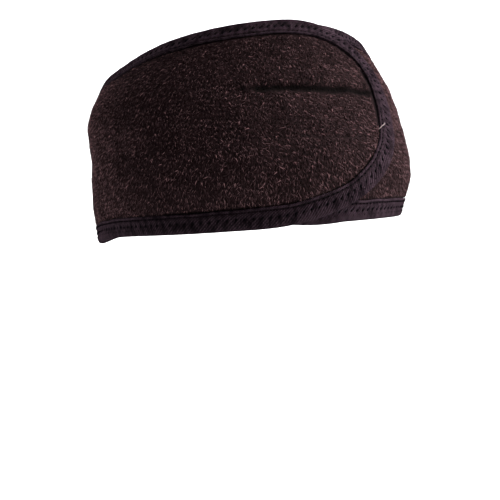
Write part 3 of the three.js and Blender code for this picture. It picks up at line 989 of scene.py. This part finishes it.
class HEADBAND_OT_binding(bpy.types.Operator):
    """Folds the binding over the strip's whole edge, with its rolled lip and its middle sunk by the sewing"""

    bl_idname = "headband.binding"
    bl_label = "Edge Binding"

    stations = 1000

    # Lines along the binding that carry painted shade in the stitch dents and in the groove by the lip, and a
    # painted highlight on the lip's ridge: how far in from the fold they lie and how far beside them they
    # fade out, as shares of the binding's width
    pressed = (BINDING_STITCHES[0]["inset"], 0.15)
    groove = (0.86, 0.07)
    ridge = (0.98, 0.07)

    # How far the lip wanders, how much the binding's thickness varies, and over what length each does
    sway, sway_size = 0.00016, 0.013
    pucker, pucker_size = 0.035, 0.006
    # The unevenness is read on a circle of this radius, so that it closes where the binding does
    circle = 0.2

    def execute(self, context):
        wearing = band(context)
        cut, outline = wearing.cut, Outline(wearing)
        section = self.section(cut)
        bm = unrolled(self.stations, len(section) - 1)
        shares = places(bm)
        column = np.rint(shares[:, 1] * (len(section) - 1)).astype(int)
        inset, out = section[column].T
        move(bm, self.fold(cut, outline, shares[:, 0] * outline.length, inset, out))
        inset_share = inset / cut.binding_width
        for name, (line, fade) in (("pressed", self.pressed), ("groove", self.groove), ("ridge", self.ridge)):
            keep(bm, name, np.clip(1 - np.abs(inset_share - line) / fade, 0, 1))
        # How far along their wave the slanting stitches are at each place beside their row
        row = BINDING_STITCHES[0]
        stitches_a_metre = stitch_count(outline, context.scene.headband_sewing) / outline.length
        run_on = (inset - row["inset"] * cut.binding_width) / math.tan(math.radians(row["slant"]))
        keep(bm, "slant", np.pi / 2 - 2 * np.pi * stitches_a_metre * run_on)
        bmesh.ops.remove_doubles(bm, verts=bm.verts, dist=1e-6)
        bmesh.ops.recalc_face_normals(bm, faces=bm.faces)
        perimeter = np.linalg.norm(np.diff(section, axis=0), axis=1).sum()
        finish = binding_finish(context.scene.headband_colours, stitches_a_metre)
        made = piece("binding", bm, finish)
        scale_map(made, outline.length, perimeter)
        flat = read(made)
        wear(made, wearing, flat[:, :2], flat[:, 2])
        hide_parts("edge_binding")
        return {"FINISHED"}

    @staticmethod
    def section(cut):
        """The folded binding's closed section: distances in from the edge and out from the cloth's middle."""
        mirrored = [(inset, -out) for inset, out in reversed(BINDING_OUTSIDE)]
        inside = [(inset, -out) for inset, out in BINDING_CHANNEL] + BINDING_CHANNEL[::-1]
        shares = np.array([*BINDING_OUTSIDE, BINDING_FOLD, *mirrored, *inside, BINDING_OUTSIDE[0]])
        return shares * [cut.binding_width, cut.binding_half]

    def fold(self, cut, outline, distance, inset, out):
        """Where the section's places lie on the flat strip, at each distance along its edge."""
        place, _, inward = outline.frame(distance)
        rolled = shown(cut, place[:, 1], (out > 0) & (inset > 0)) / cut.binding_width
        inset = inset * rolled
        loop = 2 * np.pi * distance / outline.length
        around = np.cos(loop) * self.circle, np.sin(loop) * self.circle
        inset = inset + self.sway * ripples(*around, self.sway_size, seed=52) * (inset > 0)
        out = out * (1 + self.pucker * ripples(*around, self.pucker_size, seed=51))
        return np.concatenate([place + inset[:, None] * inward, out[:, None]], -1)


# The stitching

def stitch_count(outline, sewing):
    """How many stitches go round the binding."""
    return int(outline.length / sewing.pitch)


def thread_unit(sides=6, rings=4):
    """One stitch as a plump thread: a ball that is stretched later."""
    bm = bmesh.new()
    bmesh.ops.create_uvsphere(bm, u_segments=sides, v_segments=rings, radius=0.5)
    bmesh.ops.rotate(bm, cent=(0, 0, 0), matrix=Matrix.Rotation(math.pi / 2, 3, "Y"), verts=bm.verts)
    return bm


# How far a stitch lies under the face that it is sewn to, and how high its middle bows, in thread thicknesses
STITCH_SUNK = 1.1
STITCH_BOW = 1.2


def sew(name, wearing, middles, headings, outs, reach, thread, material, side):
    """Lays one stitch at each place, bowed so that both its ends dive into the cloth."""
    made = piece(name, repeated(thread_unit(), len(middles)), material)
    along, across, lift = np.moveaxis(read(made).reshape(len(middles), -1, 3), -1, 0)
    reach = np.broadcast_to(reach, (len(middles),))[:, None]
    place = laid(middles, headings, along * reach, across * thread)
    bow = STITCH_BOW * thread * (0.25 - along ** 2) * 4
    out = side * (outs[:, None] - STITCH_SUNK * thread + bow + lift * thread)
    if side < 0:
        made.data.flip_normals()
    wear(made, wearing, place, out)


class HEADBAND_OT_stitching(bpy.types.Operator):
    """Sews the slanting binding stitches on both faces, the tape's seams and the loose thread at the tip"""

    bl_idname = "headband.stitching"
    bl_label = "Stitching"

    # How far the binding's stitches stray along it and across it, in radians how far they turn, and how their
    # lengths vary. The face they are sewn to is given as a share of the binding's half thickness.
    stray_along, stray_across, stray_turn = 0.00008, 0.0001, 0.10
    length_range = (0.85, 1.1)
    binding_face = 0.93

    # How far inside the tape's far end its seams start, how far off the binding they stop, and their depth
    seam_start = 0.002
    seam_gap = 0.0015
    seam_sunk = 0.0001

    # The loose thread: how far below the tab's tip it leaves the seam, how far in from the edge as a share of
    # the binding's width, how far out from the cloth's middle, and how much it heads outwards and onwards
    loose_below = 0.0225
    loose_inset = 1.15
    loose_out = 0.0021
    loose_outwards, loose_onwards = 0.58, 0.8
    loose_radius = 0.00017
    loose_steps, loose_step = 10, 0.00056
    loose_arch, loose_wobble = 0.00022, 0.00008

    def execute(self, context):
        wearing = band(context)
        sewing, colours = context.scene.headband_sewing, context.scene.headband_colours
        thread = thread_finish("sewing_thread", colours.thread)
        self.bind(wearing, sewing, thread)
        self.seam(context, wearing, sewing, thread)
        self.loose_end(wearing, thread_finish("loose_thread", colours.loose_thread))
        return {"FINISHED"}

    def bind(self, wearing, sewing, material):
        """Sews the rows of stitches round the binding, on both its faces."""
        cut, outline = wearing.cut, Outline(wearing)
        random = np.random.default_rng(seed=61)
        rows = []
        for row in BINDING_STITCHES:
            count = int(row["number"] * stitch_count(outline, sewing))
            distance = (np.arange(count) + row["shift"]) * outline.length / count
            place, heading, inward = outline.frame(distance + random.normal(0, self.stray_along, count))
            slant = (math.radians(row["slant"]) + random.normal(0, self.stray_turn, count))[:, None]
            inset = row["inset"] * cut.binding_width + random.normal(0, self.stray_across, count)
            heading = np.cos(slant) * heading + np.sin(slant) * inward
            reach = row["length"] * random.uniform(*self.length_range, count)
            rows.append((place, inward, inset, heading, reach))
        edges, inwards, insets, headings, reaches = map(np.concatenate, zip(*rows))
        outs = np.full(len(edges), self.binding_face * cut.binding_half)
        for face, side in (("outer", 1), ("inner", -1)):
            rolled = shown(cut, edges[:, 1], side > 0) / cut.binding_width
            middles = edges + (insets * rolled)[:, None] * inwards
            sew(f"binding_stitches_{face}", wearing, middles, headings, outs, reaches,
                sewing.thread, material, side)

    def seam(self, context, wearing, sewing, material):
        """Sews the tape's two seams along the crease and along the fainter line."""
        cut = wearing.cut
        end = wearing.tab_tip - cut.tape_from_tip
        runs = np.arange(end - cut.tape_length + self.seam_start, end, sewing.seam_pitch)
        line = crease_line(wearing, runs)
        run, up = np.tile(runs, 2), np.concatenate([line, line - cut.tape_width + SEAM_DRAWN_IN])
        inside = wearing.inset(run, up) > cut.binding_width + self.seam_gap
        run, up = run[inside], up[inside]
        half, _ = relief(context, wearing, run, up, True)
        middles, headings = np.stack([run, up], -1), np.tile([1.0, 0.0], (len(run), 1))
        sew("tape_stitches", wearing, middles, headings, half - self.seam_sunk, sewing.seam_reach,
            sewing.thread, material, 1)

    def loose_end(self, wearing, material):
        """A thread end about five millimetres long that sticks out over the binding at the tab's tip."""
        outline = Outline(wearing)
        nearest = outline.nearest(wearing.tab_tip, wearing.tip_up - self.loose_below)
        place, heading, inward = (values[0] for values in outline.frame(np.array([nearest])))
        bm = bmesh.new()
        ring = bmesh.ops.create_circle(bm, segments=6, radius=self.loose_radius)["verts"]
        bmesh.ops.rotate(bm, cent=(0, 0, 0), matrix=Matrix.Rotation(math.pi / 2, 3, "Y"), verts=ring)
        bmesh.ops.contextual_create(bm, geom=ring)
        edges = bm.edges[:]
        for step in range(self.loose_steps):
            rise = self.loose_arch * math.cos(math.pi * step / self.loose_steps)
            wobble = self.loose_wobble * math.sin(step)
            ring, edges = drawn_out(bm, edges, (self.loose_step, wobble, rise))
        bmesh.ops.contextual_create(bm, geom=ring)
        bmesh.ops.recalc_face_normals(bm, faces=bm.faces)
        made = piece("loose_thread", bm, material)
        along, across, lift = read(made).T
        start = place + self.loose_inset * wearing.cut.binding_width * inward
        heading = self.loose_onwards * heading - self.loose_outwards * inward
        heading = heading / np.linalg.norm(heading)
        place = laid(start[None], heading[None], along[None], across[None])
        wear(made, wearing, place, self.loose_out + lift)


class HEADBAND_OT_hook_tape(bpy.types.Operator):
    """Gives the hook tape between the two layers its woven, hooked finish"""

    bl_idname = "headband.hook_tape"
    bl_label = "Hook Tape"

    def execute(self, context):
        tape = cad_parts["hook_tape"]
        tape.data.materials.clear()
        tape.data.materials.append(tape_finish(context.scene.headband_colours))
        return {"FINISHED"}


class HEADBAND_OT_declare(bpy.types.Operator):
    """Reads how the band is cut and worn, and does nothing more"""

    bl_idname = "headband.declare"
    bl_label = "Cloth Facts"

    def execute(self, context):
        wearing = band(context)
        return {"FINISHED"}


# The stage

def towards(azimuth, elevation):
    """The direction from the band out to where it is seen or lit from."""
    level = math.cos(elevation)
    return Vector((math.sin(azimuth) * level, -math.cos(azimuth) * level, math.sin(elevation)))


class HEADBAND_OT_stage(bpy.types.Operator):
    """Sets the pale floor that rises into a back wall, the soft lights and the camera"""

    bl_idname = "headband.stage"
    bl_label = "Stage"

    sweep_columns, sweep_rows = 40, 60
    sweep_width = 6.0
    sweep_front = 2.5
    sweep_back = 2.6
    sweep_radius = 1.2
    wall_height = 3.0

    def execute(self, context):
        stage, colours = context.scene.headband_stage, context.scene.headband_colours
        self.sweep(stage, colours)
        self.camera(context, stage)
        self.lights(context, stage)
        return {"FINISHED"}

    def sweep(self, stage, colours):
        """Lays a floor that bends up into a wall behind the band."""
        bm = unrolled(self.sweep_columns, self.sweep_rows)
        shares = places(bm)
        arc, level = self.sweep_radius * math.pi / 2, self.sweep_front + self.sweep_back
        travelled = shares[:, 1] * (level + arc + self.wall_height)
        flat = np.minimum(travelled, level)
        turned = np.clip(travelled - level, 0, arc) / self.sweep_radius
        rise = np.maximum(travelled - level - arc, 0)
        depth = flat - self.sweep_front + self.sweep_radius * np.sin(turned)
        height = self.sweep_radius * (1 - np.cos(turned)) + rise + stage.floor_height
        across = (shares[:, 0] - 0.5) * self.sweep_width
        heading = np.array([-math.sin(stage.azimuth), math.cos(stage.azimuth)])
        side = np.array([heading[1], -heading[0]])
        ground = depth[:, None] * heading + across[:, None] * side
        move(bm, np.concatenate([ground, height[:, None]], -1))
        shaped("studio_floor", bm, floor_finish(colours))

    @staticmethod
    def camera(context, stage):
        roll, forward = stage.roll, -towards(stage.azimuth, stage.elevation)
        level = forward.cross(Vector((0, 0, 1))).normalized()
        rising = level.cross(forward)
        right = level * math.cos(roll) + rising * math.sin(roll)
        upward = -level * math.sin(roll) + rising * math.cos(roll)
        aim = stage.aim_right * right - stage.aim_down * upward + Vector((0, 0, stage.reference))
        data = bpy.data.cameras.new("camera")
        data.sensor_width = 36
        data.lens = stage.focal
        data.clip_start = 0.01
        made = bpy.data.objects.new("camera", data)
        turned = Matrix((right, upward, -forward)).transposed().to_4x4()
        made.matrix_world = Matrix.Translation(aim - stage.distance * forward) @ turned
        context.scene.collection.objects.link(made)
        context.scene.camera = made

    @staticmethod
    def lights(context, stage):
        world = bpy.data.worlds.new("studio")
        world.use_nodes = True
        background = world.node_tree.nodes["Background"]
        background.inputs["Color"].default_value = (1, 1, 1, 1)
        background.inputs["Strength"].default_value = stage.ambient
        context.scene.world = world
        context.scene.view_settings.view_transform = "Standard"
        for light in STUDIO_LIGHTS:
            data = bpy.data.lights.new(light["name"], "AREA")
            data.shape = "DISK"
            data.size = light["size"]
            data.energy = light["power"]
            around = stage.azimuth + math.radians(light["right"])
            place = light["distance"] * towards(around, math.radians(light["up"]))
            aim = -light["behind"] * towards(stage.azimuth, 0) - place
            turned = aim.to_track_quat("-Z", "Y").to_matrix().to_4x4()
            made = bpy.data.objects.new(light["name"], data)
            made.matrix_world = Matrix.Translation(place) @ turned
            context.scene.collection.objects.link(made)


OPERATORS = [
    HEADBAND_OT_towelling,
    HEADBAND_OT_pile,
    HEADBAND_OT_binding,
    HEADBAND_OT_stitching,
    HEADBAND_OT_hook_tape,
    HEADBAND_OT_declare,
    HEADBAND_OT_stage,
]


class HEADBAND_PT_panel(bpy.types.Panel):
    """Lists the band's sizes, colours and pieces in the sidebar"""

    bl_idname = "HEADBAND_PT_panel"
    bl_label = "Towelling Headband"
    bl_space_type = "VIEW_3D"
    bl_region_type = "UI"
    bl_category = "Headband"

    def draw(self, context):
        for name, group in GROUPS.items():
            column = self.layout.column()
            column.label(text=group.__doc__)
            for prop in group.__annotations__:
                column.prop(getattr(context.scene, name), prop)
        for operator in OPERATORS:
            self.layout.operator(operator.bl_idname)


CLASSES = [*GROUPS.values(), *OPERATORS, HEADBAND_PT_panel]


def register():
    for made in CLASSES:
        bpy.utils.register_class(made)
    for name, group in GROUPS.items():
        setattr(bpy.types.Scene, name, PointerProperty(type=group))


def unregister():
    for name in GROUPS:
        delattr(bpy.types.Scene, name)
    for made in reversed(CLASSES):
        bpy.utils.unregister_class(made)


def main():
    register()
    bpy.ops.headband.towelling()
    bpy.ops.headband.pile()
    bpy.ops.headband.binding()
    bpy.ops.headband.stitching()
    bpy.ops.headband.hook_tape()
    bpy.ops.headband.declare()
    bpy.ops.headband.stage()


if __name__ == "__main__":
    main()
